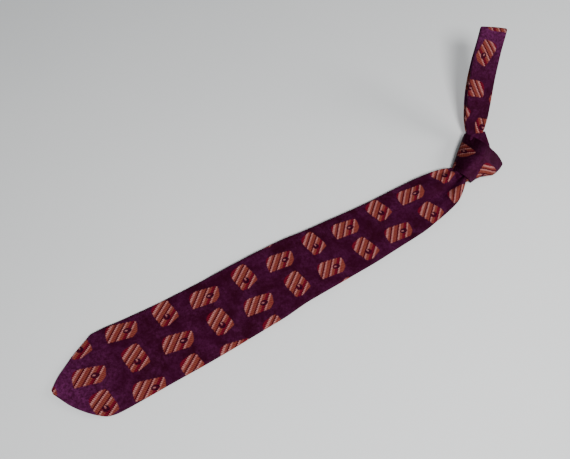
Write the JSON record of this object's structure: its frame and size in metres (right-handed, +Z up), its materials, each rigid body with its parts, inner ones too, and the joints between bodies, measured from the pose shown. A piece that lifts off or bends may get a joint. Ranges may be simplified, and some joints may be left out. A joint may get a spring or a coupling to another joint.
{
  "type": "necktie",
  "caption": "Silk necktie tied in a four-in-hand, with a wide pointed front blade, a hidden tail and a raised folded neck loop",
  "frame": {"origin": "on the table under the knot, on the front blade's centre line", "axes": "+X from the front blade's tip to the knot, +Z up, +Y to the left of someone looking from the tip to the knot"},
  "size_m": [0.6593, 0.1732, 0.1017],
  "materials": {
    "silk": "woven silk satin with a jacquard pattern",
    "lining": "plain smooth lining",
    "interlining": "brushed wool",
    "thread": "matt sewing thread"
  },
  "bodies": {
    "knot": {"knot_front_wrap": "silk", "knot_through_turn": "silk", "knot_first_wrap": "silk", "knot_back_wrap": "silk"},
    "front_blade": {"front_blade_silk": "silk", "front_blade_interlining": "interlining", "front_blade_tipping": "lining", "front_blade_slip_stitch": "thread", "front_blade_bar_tack": "thread", "keeper_loop": "silk"},
    "tail_feed": {"tail_strand_in_knot": "silk"},
    "tail": {"tail_silk": "silk", "tail_interlining": "interlining", "tail_tipping": "lining", "tail_slip_stitch": "thread", "tail_bar_tack": "thread"},
    "neck_feed": {"passive_strand_in_knot": "silk", "active_strand_in_knot": "silk"},
    "neck_loop": {"neckband_silk": "silk", "neckband_interlining": "interlining", "neckband_slip_stitch": "thread"}
  },
  "joints": [
    {"name": "front_blade_lift", "type": "hinge", "parent": "knot", "child": "front_blade", "pos_m": [-0.033, 0, 0.0098], "axis": [0, 1, 0], "range_deg": [0, 90]},
    {"name": "tail_slide", "type": "slide", "parent": "knot", "child": "tail_feed", "axis": [0.9999, 0, 0.0153], "range_m": [0, 0.025]},
    {"name": "tail_swing", "type": "hinge", "parent": "tail_feed", "child": "tail", "pos_m": [-0.0308, -0.0023, 0.0043], "axis": [-0.0153, 0, 0.9999], "range_deg": [-4, 4]},
    {"name": "neck_slide", "type": "slide", "parent": "knot", "child": "neck_feed", "axis": [0.6252, 0.7804, 0], "range_m": [0, 0.0125]},
    {"name": "neck_loop_lift", "type": "hinge", "parent": "neck_feed", "child": "neck_loop", "pos_m": [0.03, 0.042, 0.012], "axis": [0.7804, -0.6252, 0], "range_deg": [-39, 48]}
  ],
  "couplings": [
    {"joint": "neck_slide", "follows": "tail_slide", "ratio": 0.5}
  ]
}
